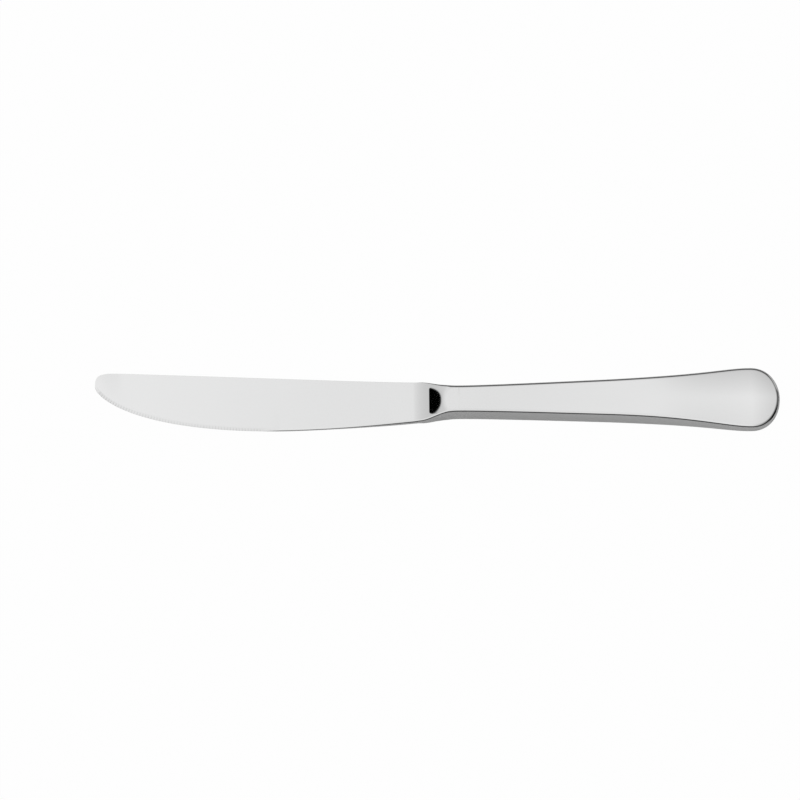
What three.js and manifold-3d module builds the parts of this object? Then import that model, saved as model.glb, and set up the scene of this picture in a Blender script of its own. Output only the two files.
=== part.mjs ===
// A dessert knife with a hollow handle, lying on its side.
// One forging makes the blade, the bolster and a tang. The tang stands in cement inside
// two pressed half shells. The shells are brazed to each other along a seam round the
// handle's narrow side, and to the bolster's shoulder at the neck.
// Millimetres. X runs from the tip to the butt, Y from the cutting edge to the spine, Z up.
// Distances along the knife are measured from the bolster's shoulder face, and offsets
// across it from the handle's axis. The middle plane of the knife is Z = 0 until the
// finished knife is set down on its handle.

import * as THREE from "three";
import { mergeVertices } from "three/addons/utils/BufferGeometryUtils.js";
import Module from "manifold-3d";

const wasm = await Module();
wasm.setup();

// Overall lengths
const bladeLength = 110.5;
const handleLength = 97.5;

// Blade outline
const tipOffset = 6.49;
const tipRound = 5.95;
const spineTipOffset = 10.35;
const spineHeelOffset = 6.28;
const edgeHeelOffset = 6.68;
const heelDistance = 12;
const bellyOffset = 9.07;
const bellyDistance = 53.9;

// How far each curve of the blade's outline keeps to the direction of its ends, as shares
// of the distance that the curve spans
const tipSpinePull = 0.79;
const tipTopPull = 0.82;
const spineFrontPull = 0.51;
const spineRearPull = 0.135;
const spineRearSlope = 0.2;
const spineHeelPull = 0.28;
const spineNeckPull = 0.54;
const tipEdgePull = 0.26;
const bellyFrontPull = 0.775;
const bellyRearPull = 0.27;
const edgeHeelPull = 0.1;
const edgeHeelRise = 0.285;
const edgeShoulderPull = 0.315;
const edgeNeckPull = 0.52;

// Blade thickness
const heelThickness = 1.7;
const tipThickness = 1.2;
const edgeThickness = 0.4;
const bluntThickness = 0.7;
const bluntRun = 2.8;
const bevelThickness = 0.8;
const bevelWidth = 1;
const spineEase = 0.15;

// Fine teeth, cut through the edge along its belly at a slight slant
const toothPitch = 0.9;
const toothRadius = 0.34;
const toothSides = 6;
const toothTilt = THREE.MathUtils.degToRad(85);
const toothReach = 2.4;
const plainTip = 3;

// Bolster: the forging swells from the blade to the handle, with a crowned nose in its middle
const swellStart = 14.1;
const swellEnd = 1.5;
const noseStart = 9;
const noseEnd = 5.25;
const noseReach = 4.3;
const noseOffset = -0.6;

// Handle outline and thickness
const neckWidth = 9.06;
const gripWidth = 11.96;
const gripDistance = 43;
const gripFlare = THREE.MathUtils.degToRad(2.3);
const buttWidth = 20.07;
const buttRound = 8.6;
const handleThickness = 6.3;
const buttThickness = 4;
const buttCrown = 0.4;
const thinningStart = 51;
const edgeRadius = 1;

// How far each curve of the handle's outline keeps to the direction of its ends
const neckPull = 0.19;
const gripFrontPull = 0.3;
const gripRearPull = 0.66;
const buttFrontPull = 0.17;
const buttSidePull = 0.68;
const buttEndPull = 0.465;

// Joints of the handle
const wall = 0.8;
const seamThickness = 0.2;
const neckJointThickness = 0.2;
const spigotLength = 4;
const spigotClearance = 0.15;
const tangLength = 48;
const tangWidth = 4.6;
const tangEndWidth = 3.4;
const tangThickness = 2.4;
const notchRadius = 0.7;
const notchPitch = 9;
const notchCount = 4;
const cementClearance = 0.3;

// Fineness of the faceted surfaces
const tipSteps = 8;
const bladeSteps = 20;
const bolsterSteps = [5, 6, 4, 1];
const handleCurveSteps = [6, 9, 12];
const cornerSteps = 4;
const panelSteps = 4;
const noseSteps = 3;
const smallestRadius = 0.15;
const weldTolerance = 1e-4;

const halfNeck = neckWidth / 2;
const halfThickness = handleThickness / 2;

// Smooth step from 0 to 1 between two places
const ease = (place, start, end) => THREE.MathUtils.smoothstep(place, start, end);
const mix = THREE.MathUtils.lerp;

// A cubic Bezier curve in the plan of the knife, from four [x, y] pairs
function planCurve(...pairs) {
  return new THREE.CubicBezierCurve(...pairs.map(([x, y]) => new THREE.Vector2(x, y)));
}

// The pair that lies a distance ahead of another, or back from it, along a slope
const ahead = ([x, y], distance, slope) => [x + distance, y + distance * slope];
const back = (pair, distance, slope) => ahead(pair, -distance, slope);

// The curves meet end to end with x rising, so each x has one offset
function offsetAt(curves, x) {
  const curve = curves.find((each) => x <= each.v3.x) ?? curves.at(-1);
  let low = 0;
  let high = 1;
  for (let step = 0; step < 40; step += 1) {
    const middle = (low + high) / 2;
    if (curve.getPoint(middle).x < x) low = middle;
    else high = middle;
  }
  return curve.getPoint((low + high) / 2).y;
}

// Blade outline as curves from the tip to the shoulder
const tip = [-bladeLength, tipOffset];
const tipTop = [tipRound - bladeLength, spineTipOffset];
const spineHeel = [-heelDistance, spineHeelOffset];
const belly = [-bellyDistance, -bellyOffset];
const edgeHeel = [-heelDistance, -edgeHeelOffset];
const bladeSpan = bladeLength - tipRound - heelDistance;
const bellySpan = bladeLength - bellyDistance;
const heelSpan = bellyDistance - heelDistance;
const spineSlope = (spineHeelOffset - spineTipOffset) / bladeSpan;

const spineCurves = [
  planCurve(
    tip,
    [tip[0], mix(tipOffset, spineTipOffset, tipSpinePull)],
    back(tipTop, tipTopPull * tipRound, spineSlope),
    tipTop,
  ),
  planCurve(
    tipTop,
    ahead(tipTop, spineFrontPull * bladeSpan, spineSlope),
    back(spineHeel, spineRearPull * bladeSpan, spineRearSlope * spineSlope),
    spineHeel,
  ),
  planCurve(
    spineHeel,
    ahead(spineHeel, spineHeelPull * heelDistance, 0),
    back([0, halfNeck], spineNeckPull * heelDistance, 0),
    [0, halfNeck],
  ),
];
const bellyCurve = planCurve(
  tip,
  [tip[0], mix(tipOffset, -bellyOffset, tipEdgePull)],
  back(belly, bellyFrontPull * bellySpan, 0),
  belly,
);
const edgeCurves = [
  bellyCurve,
  planCurve(
    belly,
    ahead(belly, bellyRearPull * heelSpan, 0),
    [edgeHeel[0] - edgeHeelPull * heelSpan, mix(-edgeHeelOffset, -bellyOffset, edgeHeelRise)],
    edgeHeel,
  ),
  planCurve(
    edgeHeel,
    ahead(edgeHeel, edgeShoulderPull * heelDistance, 0),
    back([0, -halfNeck], edgeNeckPull * heelDistance, 0),
    [0, -halfNeck],
  ),
];

// Handle outline on the +Y side, from the neck to the middle of the butt
const buttDistance = handleLength - buttRound;
const buttSpan = buttDistance - gripDistance;
const flare = Math.tan(gripFlare);
const neck = [neckJointThickness, halfNeck];
const grip = [gripDistance, gripWidth / 2];
const butt = [buttDistance, buttWidth / 2];
const handleCurves = [
  planCurve(
    neck,
    ahead(neck, neckPull * gripDistance, 0),
    back(grip, gripFrontPull * gripDistance, flare),
    grip,
  ),
  planCurve(
    grip,
    ahead(grip, gripRearPull * buttSpan, flare),
    back(butt, buttFrontPull * buttSpan, 0),
    butt,
  ),
  planCurve(
    butt,
    ahead(butt, buttSidePull * buttRound, 0),
    [handleLength, buttEndPull * butt[1]],
    [handleLength, 0],
  ),
];

// Height of the handle's upper face, which falls away to the outline as a shallow pillow
function faceHeight(x, y) {
  const thinning = ease(x, thinningStart, handleLength);
  const across = y / offsetAt(handleCurves, Math.min(x, buttDistance));
  const past = Math.max(0, x - buttDistance) / buttRound;
  const crown = buttCrown * thinning * Math.min(1, across * across + past * past);
  return mix(halfThickness, buttThickness / 2, thinning) - crown;
}

// Joins equal vertices and drops the triangles that this closes up
function weld(geometry) {
  const bare = new THREE.BufferGeometry();
  bare.setAttribute("position", geometry.getAttribute("position"));
  if (geometry.index) bare.setIndex(geometry.index);
  const merged = mergeVertices(bare, weldTolerance);
  const kept = [];
  for (let i = 0; i < merged.index.count; i += 3) {
    const [a, b, c] = [0, 1, 2].map((corner) => merged.index.getX(i + corner));
    if (a !== b && b !== c && c !== a) kept.push(a, b, c);
  }
  merged.setIndex(kept);
  return merged;
}

// A closed skin through rings of points that follow each other along X. Each ring runs
// round anticlockwise as seen from the +X end, and a ring with an area gets an end face.
function loft(rings, startFace, endFace) {
  const count = rings[0].length;
  const positions = rings.flat().flatMap((point) => [point.x, point.y, point.z]);
  const faces = [];
  for (let ring = 0; ring < rings.length - 1; ring += 1) {
    for (let k = 0; k < count; k += 1) {
      const a = ring * count + k;
      const b = ring * count + ((k + 1) % count);
      faces.push(a, b, b + count, a, b + count, a + count);
    }
  }
  const flat = (ring) => ring.map((point) => new THREE.Vector2(point.y, point.z));
  if (startFace) {
    for (const [a, b, c] of THREE.ShapeUtils.triangulateShape(flat(rings[0]), [])) {
      faces.push(c, b, a);
    }
  }
  if (endFace) {
    const first = (rings.length - 1) * count;
    for (const corners of THREE.ShapeUtils.triangulateShape(flat(rings.at(-1)), [])) {
      faces.push(...corners.map((corner) => first + corner));
    }
  }
  const geometry = new THREE.BufferGeometry();
  geometry.setAttribute("position", new THREE.Float32BufferAttribute(positions, 3));
  geometry.setIndex(faces);
  return weld(geometry);
}

// Between a closed geometry and a solid that can be cut and joined
function solidOf(geometry) {
  const welded = weld(geometry);
  return new wasm.Manifold(
    new wasm.Mesh({
      numProp: 3,
      vertProperties: new Float32Array(welded.getAttribute("position").array),
      triVerts: new Uint32Array(welded.index.array),
    }),
  );
}

function geometryOf(solid) {
  const mesh = solid.getMesh();
  const geometry = new THREE.BufferGeometry();
  geometry.setAttribute("position", new THREE.BufferAttribute(mesh.vertProperties, 3));
  geometry.setIndex(new THREE.BufferAttribute(mesh.triVerts, 1));
  return geometry;
}

// A flat plate from an outline in plan, centred on the middle plane
function plate(shape, thickness) {
  const geometry = new THREE.ExtrudeGeometry(shape, {
    depth: thickness,
    bevelEnabled: false,
    curveSegments: cornerSteps * 2,
  });
  return geometry.translate(0, 0, -thickness / 2);
}

// Half thickness of the blade at its spine, at its edge and at the top of the edge bevel.
// The edge is blunt behind the teeth and grows from there to the bolster's thickness.
const towardsHeel = (x) => THREE.MathUtils.inverseLerp(-bladeLength, -swellStart, x);
const towardsBolster = (x) => THREE.MathUtils.inverseLerp(-bellyDistance, -swellStart, x);
const bluntShare = (x) => ease(x, -bellyDistance - bluntRun, -bellyDistance);
const grownShare = (x) => ease(Math.max(0, towardsBolster(x)) ** 2, 0, 1);
const bluntEdge = (x) => mix(bluntThickness, heelThickness, grownShare(x));
const spineHalf = (x) => mix(tipThickness, heelThickness, towardsHeel(x)) / 2;
const edgeHalf = (x) => mix(edgeThickness, bluntEdge(x), bluntShare(x)) / 2;
const bevelHalf = (x) => mix(bevelThickness, heelThickness, grownShare(x)) / 2;

// Half thickness of the bolster at its outline, and of the nose in its middle
const swellHalf = (x) => mix(heelThickness / 2, halfThickness, ease(x, -swellStart, -swellEnd));
const noseFoot = swellHalf(-noseStart);
const noseSlope = (halfThickness - noseFoot) / (noseStart - noseEnd);
const noseHalf = (x) => noseFoot + noseSlope * (x + noseStart);
const crownLift = (x) => halfThickness - Math.max(swellHalf(x), swellHalf(-noseEnd));

// Upper outline of the blade's section at x, from the spine to the cutting edge, with as
// many points as a section of the bolster has
function bladeSection(x) {
  const spine = offsetAt(spineCurves, x);
  const edge = offsetAt(edgeCurves, x);
  const width = spine - edge;
  const fullness = ease(width, 0, spineTipOffset);
  const spineTop = mix(edgeHalf(x), spineHalf(x), fullness);
  const bevelTop = mix(edgeHalf(x), bevelHalf(x), fullness);
  const corner = spineEase * fullness;
  const bevel = bevelWidth * fullness;
  const points = [];
  for (let step = 0; step <= cornerSteps; step += 1) {
    const turn = (step / cornerSteps) * (Math.PI / 2);
    const drop = corner * (1 - Math.sin(turn));
    points.push([spine - corner * (1 - Math.cos(turn)), spineTop - drop]);
  }
  // The flat face and the bevel need only their ends, so the ring's other points lie on those
  const faceStart = points.at(-1);
  const faceEnd = [edge + bevel, bevelTop];
  const spare = noseSteps + 1;
  points.push(...Array(spare).fill(faceStart), ...Array(spare + 1).fill(faceEnd));
  points.push(...Array(cornerSteps).fill([edge, edgeHalf(x)]));
  return points;
}

// Upper outline of the bolster's section at x: rounded corners, and between them a shallow
// crown, cut off by the nose's slope that faces the blade
function bolsterSection(x) {
  const spine = offsetAt(spineCurves, x);
  const edge = offsetAt(edgeCurves, x);
  const top = swellHalf(x);
  const corner = mix(spineEase, edgeRadius, ease(x, -swellStart, -swellEnd));
  const lift = crownLift(x);
  const room = Math.min(noseReach, spine - corner - noseOffset, noseOffset - edge - corner);
  const foot = lift > 0 ? room : 0;
  const cutShare = (noseHalf(x) - top) / lift;
  const crest = foot * Math.sqrt(THREE.MathUtils.clamp(1 - cutShare, 0, 1));
  const points = [];
  const addCorner = (side, step) => {
    const turn = (step / cornerSteps) * (Math.PI / 2);
    const wallOffset = side > 0 ? spine : edge;
    const drop = corner * (1 - Math.sin(turn));
    points.push([wallOffset - side * corner * (1 - Math.cos(turn)), top - drop]);
  };
  const addNose = (side, step) => {
    const reach = mix(foot, crest, step / noseSteps);
    const crown = top + lift * (1 - (reach / room) ** 2);
    points.push([noseOffset + side * reach, Math.max(top, Math.min(crown, noseHalf(x)))]);
  };
  for (let step = 0; step <= cornerSteps; step += 1) addCorner(1, step);
  for (let step = 0; step <= noseSteps; step += 1) addNose(1, step);
  for (let step = noseSteps; step >= 0; step -= 1) addNose(-1, step);
  for (let step = cornerSteps; step >= 0; step -= 1) addCorner(-1, step);
  return points;
}

// A whole ring from its upper half, which the lower half mirrors
function mirroredRing(x, section) {
  const upper = section.map(([y, z]) => new THREE.Vector3(x, y, z));
  const lower = section.map(([y, z]) => new THREE.Vector3(x, y, -z));
  return [...upper, ...lower.reverse()];
}

function bladeStations() {
  const stations = [];
  const tipZone = 2 * tipRound;
  for (let step = 0; step < tipSteps; step += 1) {
    const turn = (step / tipSteps) * (Math.PI / 2);
    stations.push(-bladeLength + tipZone * (1 - Math.cos(turn)));
  }
  const bladeStart = tipZone - bladeLength;
  for (let step = 0; step <= bladeSteps; step += 1) {
    stations.push(mix(bladeStart, -swellStart, step / bladeSteps));
  }
  return stations;
}

function bolsterStations() {
  const marks = [swellStart, noseStart, noseEnd, swellEnd, 0];
  const stations = [];
  bolsterSteps.forEach((count, i) => {
    for (let step = 1; step <= count; step += 1) {
      stations.push(-mix(marks[i], marks[i + 1], step / count));
    }
  });
  return stations;
}

// One flute of the saw edge, which leans into the blade on its way up through the edge
function toothFlute(place, outward) {
  const flute = new THREE.CylinderGeometry(toothRadius, toothRadius, toothReach, toothSides);
  const inward = new THREE.Vector3(-outward.x, -outward.y, 0).multiplyScalar(Math.cos(toothTilt));
  inward.z = Math.sin(toothTilt);
  flute.applyQuaternion(
    new THREE.Quaternion().setFromUnitVectors(new THREE.Vector3(0, 1, 0), inward),
  );
  return flute.translate(place.x, place.y, 0);
}

function cutTeeth(solid) {
  const length = bellyCurve.getLength();
  const flutes = [];
  for (let along = plainTip; along < length; along += toothPitch) {
    const place = bellyCurve.getPointAt(along / length);
    const tangent = bellyCurve.getTangentAt(along / length);
    const outward = new THREE.Vector2(tangent.y, -tangent.x);
    flutes.push(solidOf(toothFlute(place, outward)));
  }
  return solid.subtract(flutes.reduce((joined, flute) => joined.add(flute)));
}

// The mouth's section in Y and Z, drawn in by an inset
function mouthShape(inset) {
  const y = halfNeck - inset;
  const z = halfThickness - inset;
  const r = Math.max(edgeRadius - inset, smallestRadius);
  const shape = new THREE.Shape();
  shape.absarc(y - r, z - r, r, 0, Math.PI / 2);
  shape.absarc(r - y, z - r, r, Math.PI / 2, Math.PI);
  shape.absarc(r - y, r - z, r, Math.PI, 1.5 * Math.PI);
  shape.absarc(y - r, r - z, r, 1.5 * Math.PI, 2 * Math.PI);
  shape.closePath();
  return shape;
}

// A shape in Y and Z pushed along +X from a starting place
function pushed(shape, start, length) {
  const geometry = new THREE.ExtrudeGeometry(shape, {
    depth: length,
    bevelEnabled: false,
    curveSegments: cornerSteps,
  });
  const axes = new THREE.Matrix4().makeBasis(
    new THREE.Vector3(0, 1, 0),
    new THREE.Vector3(0, 0, 1),
    new THREE.Vector3(1, 0, 0),
  );
  return geometry.applyMatrix4(axes).translate(start, 0, 0);
}

// Plan of the tang, or of its socket when it is let out by a clearance. Half round
// notches on both sides key it into the cement.
function tangShape(clearance) {
  const end = tangLength + clearance;
  const endHalf = tangEndWidth / 2 + clearance;
  const halfAt = (x) => mix(tangWidth, tangEndWidth, x / tangLength) / 2 + clearance;
  const notch = notchRadius - clearance;
  const first = tangLength - notchCount * notchPitch + notchPitch / 2;
  const shape = new THREE.Shape();
  shape.moveTo(0, -halfAt(0));
  for (let i = 0; i < notchCount; i += 1) {
    const x = first + i * notchPitch;
    shape.lineTo(x - notch, -halfAt(x));
    shape.absarc(x, -halfAt(x), notch, Math.PI, 0, true);
  }
  shape.lineTo(end, -endHalf);
  shape.lineTo(end, endHalf);
  for (let i = notchCount - 1; i >= 0; i -= 1) {
    const x = first + i * notchPitch;
    shape.lineTo(x + notch, halfAt(x));
    shape.absarc(x, halfAt(x), notch, 0, Math.PI, true);
  }
  shape.lineTo(0, halfAt(0));
  shape.closePath();
  return shape;
}

function bladeForging() {
  const rings = [
    ...bladeStations().map((x) => mirroredRing(x, bladeSection(x))),
    ...bolsterStations().map((x) => mirroredRing(x, bolsterSection(x))),
  ];
  const body = cutTeeth(solidOf(loft(rings, false, true)));
  // The spigot starts inside the bolster, so that the two join
  const spigot = pushed(mouthShape(wall + spigotClearance), -swellEnd, swellEnd + spigotLength);
  const tang = plate(tangShape(0), tangThickness);
  return geometryOf(body.add(solidOf(spigot)).add(solidOf(tang)));
}

// Points along the handle's outline with the direction that points into the handle
function handleStations() {
  const stations = [];
  handleCurves.forEach((curve, i) => {
    const steps = handleCurveSteps[i];
    for (let step = i === 0 ? 0 : 1; step <= steps; step += 1) {
      const place = curve.getPoint(step / steps);
      const tangent = curve.getTangent(step / steps);
      stations.push({ place, inward: new THREE.Vector2(tangent.y, -tangent.x) });
    }
  });
  return stations;
}

// Section of the handle's upper half at one station, drawn in by an inset: from the seam
// on the +Y side, over the face and down to the seam on the -Y side
function handleSection({ place, inward }, inset, seam) {
  const r = Math.max(edgeRadius - inset, smallestRadius);
  const drawnIn = (distance) => {
    const at = place.clone().addScaledVector(inward, inset + distance);
    return at.setY(Math.max(0, at.y));
  };
  const shoulder = drawnIn(r);
  const top = faceHeight(shoulder.x, shoulder.y) - inset;
  const side = [];
  const addSide = (distance, z) => {
    const at = drawnIn(distance);
    side.push(new THREE.Vector3(at.x, at.y, z));
  };
  addSide(0, seam);
  for (let step = 0; step <= cornerSteps; step += 1) {
    const turn = (step / cornerSteps) * (Math.PI / 2);
    addSide(r * (1 - Math.cos(turn)), top - r * (1 - Math.sin(turn)));
  }
  const face = [];
  for (let step = 1; step < panelSteps; step += 1) {
    const y = shoulder.y * (1 - (2 * step) / panelSteps);
    face.push(new THREE.Vector3(shoulder.x, y, faceHeight(shoulder.x, y) - inset));
  }
  const far = side.map((point) => new THREE.Vector3(point.x, -point.y, point.z));
  return [...side, ...face, ...far.reverse()];
}

// One half shell: the outer skin, the inner skin and the flat rim between them
function upperShell() {
  const seam = seamThickness / 2;
  const rings = handleStations().map((station) => [
    ...handleSection(station, 0, seam),
    ...handleSection(station, wall, seam).reverse(),
  ]);
  return loft(rings, true, false);
}

// The lower half is the upper one turned over about the handle's axis
function lowerShell() {
  return upperShell().rotateX(Math.PI);
}

// The thin layer of braze between the two rims
function seamBraze() {
  const side = handleStations();
  const outline = (inset) => {
    const points = side.map(({ place, inward }) => place.clone().addScaledVector(inward, inset));
    const back = points.slice(0, -1).map((point) => new THREE.Vector2(point.x, -point.y));
    return [...points, ...back.reverse()];
  };
  const shape = new THREE.Shape([...outline(0), ...outline(wall).reverse()]);
  return plate(shape, seamThickness);
}

// The thin ring of braze between the shoulder and the shells
function neckBraze() {
  const ring = mouthShape(0);
  ring.holes.push(mouthShape(wall));
  return pushed(ring, 0, neckJointThickness);
}

// Cement fills the handle round the tang, from the spigot's end face to the butt
function tangCement() {
  const inset = wall + cementClearance;
  const front = spigotLength;
  const whole = handleStations().filter(({ place }) => place.x > front);
  const start = { place: new THREE.Vector2(front, offsetAt(handleCurves, front)) };
  start.inward = new THREE.Vector2(0, -1);
  const rings = [start, ...whole].map((station) => {
    const upper = handleSection(station, inset, 0);
    const lower = upper.slice(1, -1).map((point) => new THREE.Vector3(point.x, point.y, -point.z));
    return [...upper, ...lower.reverse()];
  });
  const socket = plate(tangShape(cementClearance), tangThickness + 2 * cementClearance);
  return geometryOf(solidOf(loft(rings, true, false)).subtract(solidOf(socket)));
}

const polishedSteel = new THREE.MeshStandardMaterial({
  color: 0xc9cccd,
  roughness: 0.12,
  metalness: 1,
});
const brazingAlloy = new THREE.MeshStandardMaterial({
  color: 0xc8c2b0,
  roughness: 0.3,
  metalness: 1,
});
const handleCement = new THREE.MeshStandardMaterial({
  color: 0x8f8a80,
  roughness: 0.9,
  metalness: 0,
});

function part(name, geometry, material) {
  geometry.computeVertexNormals();
  const mesh = new THREE.Mesh(geometry, material);
  mesh.name = name;
  return mesh;
}

const handle = new THREE.Group();
handle.add(
  part("handle_upper_shell", upperShell(), polishedSteel),
  part("handle_lower_shell", lowerShell(), polishedSteel),
  part("seam_braze", seamBraze(), brazingAlloy),
  part("tang_cement", tangCement(), handleCement),
);

const knife = new THREE.Group();
knife.add(
  part("blade", bladeForging(), polishedSteel),
  part("neck_braze", neckBraze(), brazingAlloy),
  handle,
);

// Set the knife down on the underside of its handle, over the middle of its own outline
const box = new THREE.Box3().setFromObject(knife);
const centre = box.getCenter(new THREE.Vector3());
knife.position.set(-centre.x, -centre.y, -box.min.z);

export default knife;
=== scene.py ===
"""A polished dessert knife with a hollow handle, built round its packed solids.

The file is laid out as an add-on. Property groups hold the sizes and the finishes, one
operator makes each group of pieces, and one more makes the stage.
Metres. X runs from the tip to the butt, Y from the cutting edge to the spine, Z up.
Places on the knife are measured from the bolster's shoulder face, the handle's axis and the
knife's middle plane, and are moved into the frame when a mesh is made.
"""

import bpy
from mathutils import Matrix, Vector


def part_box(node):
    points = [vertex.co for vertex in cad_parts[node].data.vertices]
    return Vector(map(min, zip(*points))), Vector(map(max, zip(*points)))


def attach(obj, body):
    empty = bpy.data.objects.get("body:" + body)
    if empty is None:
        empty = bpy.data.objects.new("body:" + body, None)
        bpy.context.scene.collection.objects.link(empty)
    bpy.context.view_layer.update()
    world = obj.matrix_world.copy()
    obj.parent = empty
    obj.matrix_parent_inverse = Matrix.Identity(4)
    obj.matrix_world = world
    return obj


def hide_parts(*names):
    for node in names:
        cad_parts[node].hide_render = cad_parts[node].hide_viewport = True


bl_info = {
    "name": "Dessert Knife",
    "version": (1, 0, 0),
    "blender": (4, 5, 0),
    "location": "View3D > Sidebar > Knife",
    "description": "Builds a polished dessert knife with a hollow handle, and its stage",
    "category": "Add Mesh",
}

import math

import bmesh
import bpy
import numpy as np
from bpy.props import FloatProperty, FloatVectorProperty, PointerProperty
from mathutils import Matrix, Vector

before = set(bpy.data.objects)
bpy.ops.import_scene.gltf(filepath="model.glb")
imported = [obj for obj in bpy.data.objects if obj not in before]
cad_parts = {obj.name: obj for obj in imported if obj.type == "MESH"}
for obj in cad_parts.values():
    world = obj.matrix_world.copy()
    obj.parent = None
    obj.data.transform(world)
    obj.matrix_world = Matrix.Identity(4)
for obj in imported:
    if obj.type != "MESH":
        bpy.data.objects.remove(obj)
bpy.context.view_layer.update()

# Places that the packed solids give
blade_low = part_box("blade")[0]
shell_low, shell_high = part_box("handle_upper_shell")
neck_low, neck_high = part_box("neck_braze")
seam_low, seam_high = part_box("seam_braze")
knife_origin = Vector((
    neck_low.x,
    (shell_low.y + shell_high.y) / 2,
    (neck_low.z + neck_high.z) / 2,
))

# How far each curve of the blade's outline keeps to the direction of its ends, as shares of
# the distance that the curve spans. The slope and the rise are shares of the whole curve's.
TIP_SPINE_PULL = 0.79
TIP_TOP_PULL = 0.82
SPINE_FRONT_PULL = 0.51
SPINE_REAR_PULL = 0.135
SPINE_REAR_SLOPE = 0.2
SPINE_HEEL_PULL = 0.28
SPINE_NECK_PULL = 0.54
TIP_EDGE_PULL = 0.26
BELLY_FRONT_PULL = 0.775
BELLY_REAR_PULL = 0.27
EDGE_HEEL_PULL = 0.1
EDGE_HEEL_RISE = 0.285
EDGE_SHOULDER_PULL = 0.315
EDGE_NECK_PULL = 0.52

# The same for the handle's outline
NECK_PULL = 0.19
GRIP_FRONT_PULL = 0.3
GRIP_REAR_PULL = 0.66
BUTT_FRONT_PULL = 0.17
BUTT_SIDE_PULL = 0.68
BUTT_END_PULL = 0.465

# Fineness of the meshes
CURVE_POINTS = 400
CORNER_STEPS = 8
FACE_STEPS = 84
BEVEL_STEPS = 3
FLUTE_SIDES = 160
FLUTE_PATH_POINTS = 256
TIP_STATIONS = 40
BLADE_STATIONS = 64
BOLSTER_STATIONS = 168
HANDLE_STATIONS = (60, 90, 80)
PANEL_STEPS = 40
INNER_PANEL_STEPS = 8
INNER_CORNER_STEPS = 3
FLOOR_SIDES = 96
WELD_DISTANCE = 1e-7
SHARP_ANGLE = math.radians(24)

# Where the first ring stands, as a share of the quarter turn that spaces the rings at the tip
FIRST_TURN = 0.02

# Zones at the tip and at the butt, as multiples of the rounding's length there
TIP_ZONE = 2
BUTT_ZONE = 1.5

# Limits of the bevel: a share of the blade's width, and a multiple of the edge's rounding
BEVEL_SHARE = 0.6
CORNER_ROOM = 1.2

# Step along X over which the lean of the edge is measured, and least radius inside a shell
LEAN_STEP = 0.00001
SMALLEST_RADIUS = 0.00015

# Inputs that draw a curve, and the numbers of those that trim one by length
CURVE_ENDS = ("Start", "Start Handle", "End Handle", "End")
TRIM_START = 4
TRIM_END = 5

# Polishing marks: drawn out lines, faint clouds, and the spread of the roughness
LINE_STRETCH = (0.03, 1, 1)
LINE_DETAIL = 3.0
CLOUD_DENSITY = 60.0
CLOUD_DETAIL = 2.0
CLOUD_SPREAD = 0.015
ROUGHNESS_SPREAD = 0.2
MARK_DEPTH = 0.00002
STEEL_LINES = 2600.0
STEEL_RELIEF = 0.008
BRAZE_LINES = 3400.0
BRAZE_RELIEF = 0.01

# Grains of sand in the cement
GRAIN_DENSITY = 2400.0
GRAIN_DETAIL = 5.0
GRAIN_SHADES = (0.75, 1.1)
GRAIN_DEPTH = 0.0001
CEMENT_ROUGHNESS = 0.9

# Values between which most of a noise lies
NOISE_LOW = 0.3
NOISE_HIGH = 0.7

WHITE = (1, 1, 1, 1)


def number(name, description, default, **kind):
    """A number that a user may change."""
    return FloatProperty(name=name, description=description, default=default, **kind)


def length(name, description, default):
    """A length that a user may change."""
    return number(name, description, default, unit="LENGTH", precision=5)


def angle(name, description, degrees):
    """An angle that a user may change."""
    return number(name, description, math.radians(degrees), subtype="ANGLE")


def share(name, description, default):
    """A share from 0 to 1 that a user may change."""
    return number(name, description, default, min=0, max=1, subtype="FACTOR")


def colour(name, description, default):
    """A linear colour that a user may change."""
    return FloatVectorProperty(
        name=name, description=description, default=default, size=3, min=0, max=1,
        subtype="COLOR",
    )


class BladeSizes(bpy.types.PropertyGroup):
    """Outline and thickness of the blade."""

    reach: length("Blade length", "From the shoulder to the tip", knife_origin.x - blade_low.x)
    tip_offset: length("Tip offset", "From the handle's axis to the tip", 0.00649)
    tip_round: length("Tip rounding", "Length of the curve from the tip to the spine", 0.00595)
    spine_tip_offset: length("Spine at the tip", "From the axis to the spine's front", 0.01035)
    spine_heel_offset: length("Spine at the heel", "From the axis to the spine's rear", 0.00628)
    edge_heel_offset: length("Edge at the heel", "From the axis to the edge's rear", 0.00668)
    heel_distance: length("Heel distance", "From the shoulder to the heel", 0.012)
    belly_offset: length("Belly offset", "From the axis to the lowest point of the edge", 0.00907)
    belly_distance: length("Belly distance", "From the shoulder to the belly", 0.0539)
    heel_thickness: length("Heel thickness", "Thickness of the blade at its heel", 0.0017)
    tip_thickness: length("Tip thickness", "Thickness of the spine at the tip", 0.00105)
    edge_thickness: length("Edge thickness", "Thickness of the toothed edge", 0.00014)
    blunt_thickness: length("Blunt thickness", "Thickness of the edge behind the teeth", 0.0007)
    blunt_run: length("Blunt run", "Length over which the edge turns blunt", 0.006)
    bevel_thickness: length("Bevel thickness", "Thickness where the edge bevel starts", 0.00052)
    bevel_width: length("Bevel width", "Width of the bevel along the edge", 0.0008)
    tip_run: length("Tip run", "Length over which the blunt tip thins to the edge", 0.002)
    tip_rise: length("Tip rise", "Length over which the spine thickens from the tip", 0.009)
    spine_ease: length("Spine rounding", "Radius along the spine", 0.00003)
    edge_ease: length("Edge rounding", "Radius along the toothed edge", 0.00002)
    blunt_ease: length("Blunt rounding", "Radius along the edge behind the teeth", 0.00028)
    heel_ease: length("Heel rounding", "Radius along the edge at the heel", 0.0008)


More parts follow.
